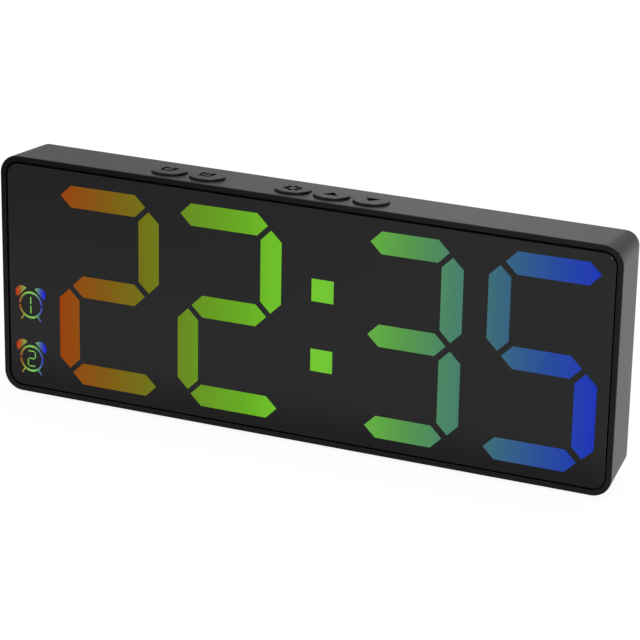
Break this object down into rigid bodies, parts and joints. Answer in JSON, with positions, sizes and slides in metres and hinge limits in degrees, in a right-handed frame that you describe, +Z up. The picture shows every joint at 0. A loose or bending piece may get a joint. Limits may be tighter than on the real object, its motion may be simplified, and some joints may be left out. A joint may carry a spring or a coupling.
{
  "type": "digital alarm clock",
  "caption": "Slim wide digital alarm clock with a dark lens over a large lit time display, round top buttons, a rear coin cell door and a rear power socket; it stands on rubber feet.",
  "frame": {"origin": "on the table, under the middle of the case", "axes": "+Z up; the lens faces -Y; +X to the right of a person who reads the time"},
  "size_m": [0.165, 0.0176, 0.065],
  "materials": {
    "case_plastic": "fine satin black moulding",
    "lens_acrylic": "polished smoked acrylic",
    "lens_tape": "thin black foam tape",
    "diffuser_film": "frosted film, lit from behind where the display shows",
    "reflector_plastic": "matt grey moulding",
    "circuit_board": "green solder mask",
    "cell_steel": "brushed cell can",
    "contact_metal": "sprung strip",
    "lead_black": "smooth insulation",
    "lead_red": "smooth insulation",
    "chip_plastic": "matt moulding compound",
    "socket_steel": "plated shell",
    "capacitor_can": "drawn can",
    "button_plastic": "fine satin black moulding",
    "switch_plastic": "matt moulding",
    "plunger_plastic": "off-white moulding",
    "screw_steel": "blackened steel",
    "foot_rubber": "matt black rubber"
  },
  "bodies": {
    "case": {"front_housing": "case_plastic", "front_lens": "lens_acrylic", "lens_tape": "lens_tape", "diffuser_film": "diffuser_film", "segment_mask": "reflector_plastic", "display_board": "circuit_board", "rear_cover": "case_plastic", "coin_cell": "cell_steel", "negative_contact": "contact_metal", "positive_contact": "contact_metal", "negative_lead": "lead_black", "positive_lead": "lead_red", "buzzer": "chip_plastic", "power_socket": "socket_steel", "socket_tongue": "chip_plastic", "smoothing_capacitor": "capacitor_can", "controller_chip": "chip_plastic", "driver_chip": "chip_plastic", "clock_crystal": "socket_steel", "alarm_1_switch": "switch_plastic", "alarm_2_switch": "switch_plastic", "settings_switch": "switch_plastic", "up_switch": "switch_plastic", "down_switch": "switch_plastic", "cover_screw_1": "screw_steel", "module_screw_1": "screw_steel", "cover_screw_2": "screw_steel", "module_screw_2": "screw_steel", "cover_screw_3": "screw_steel", "module_screw_3": "screw_steel", "cover_screw_4": "screw_steel", "module_screw_4": "screw_steel", "foot_front_left": "foot_rubber", "foot_front_right": "foot_rubber", "foot_back_left": "foot_rubber", "foot_back_right": "foot_rubber"},
    "alarm_1_key": {"alarm_1_button": "button_plastic", "alarm_1_plunger": "plunger_plastic"},
    "alarm_2_key": {"alarm_2_button": "button_plastic", "alarm_2_plunger": "plunger_plastic"},
    "settings_key": {"settings_button": "button_plastic", "settings_plunger": "plunger_plastic"},
    "up_key": {"up_button": "button_plastic", "up_plunger": "plunger_plastic"},
    "down_key": {"down_button": "button_plastic", "down_plunger": "plunger_plastic"},
    "door": {"battery_door": "case_plastic"}
  },
  "joints": [
    {"name": "alarm_1_press", "type": "slide", "parent": "case", "child": "alarm_1_key", "axis": [0, 0, -1], "range_m": [0, 0.00035], "stiffness_N_per_m": 1500},
    {"name": "alarm_2_press", "type": "slide", "parent": "case", "child": "alarm_2_key", "axis": [0, 0, -1], "range_m": [0, 0.00035], "stiffness_N_per_m": 1500},
    {"name": "settings_press", "type": "slide", "parent": "case", "child": "settings_key", "axis": [0, 0, -1], "range_m": [0, 0.00035], "stiffness_N_per_m": 1500},
    {"name": "up_press", "type": "slide", "parent": "case", "child": "up_key", "axis": [0, 0, -1], "range_m": [0, 0.00035], "stiffness_N_per_m": 1500},
    {"name": "down_press", "type": "slide", "parent": "case", "child": "down_key", "axis": [0, 0, -1], "range_m": [0, 0.00035], "stiffness_N_per_m": 1500},
    {"name": "door_swing", "type": "hinge", "parent": "case", "child": "door", "pos_m": [0.03399, 0.00855, 0.0198], "axis": [-1, 0, 0], "range_deg": [0, 75]}
  ]
}
